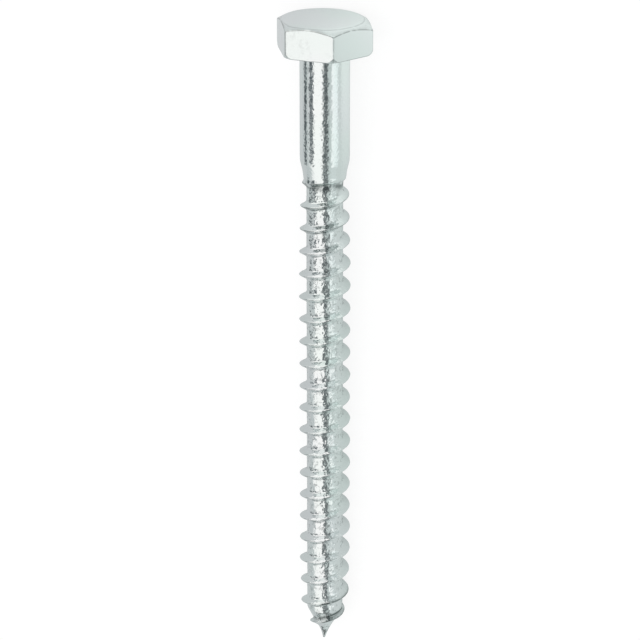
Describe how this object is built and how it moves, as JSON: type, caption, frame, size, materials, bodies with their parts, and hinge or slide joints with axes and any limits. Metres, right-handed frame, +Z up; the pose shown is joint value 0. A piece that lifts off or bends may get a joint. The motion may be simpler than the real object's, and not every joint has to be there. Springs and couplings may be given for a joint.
{
  "type": "hex lag screw",
  "caption": "Hexagon-head lag screw with a plain shank, a reduced neck, a coarse right-hand wood thread and a cone point.",
  "frame": {"origin": "on the surface that the screw lies on, under the middle of its bounding box", "axes": "+Z up; +Y along the screw, from the point to the head; one flat of the head faces up. The axis of the screw slopes 1.74 degrees, head end higher, as the screw rests on the edge of its head and on a thread crest"},
  "size_m": [0.0188, 0.1262, 0.0165],
  "materials": {
    "zinc_plated_steel": "bright blue-white zinc plating on cold-headed steel"
  },
  "bodies": {
    "root": {"lag_screw": "zinc_plated_steel"}
  },
  "joints": []
}
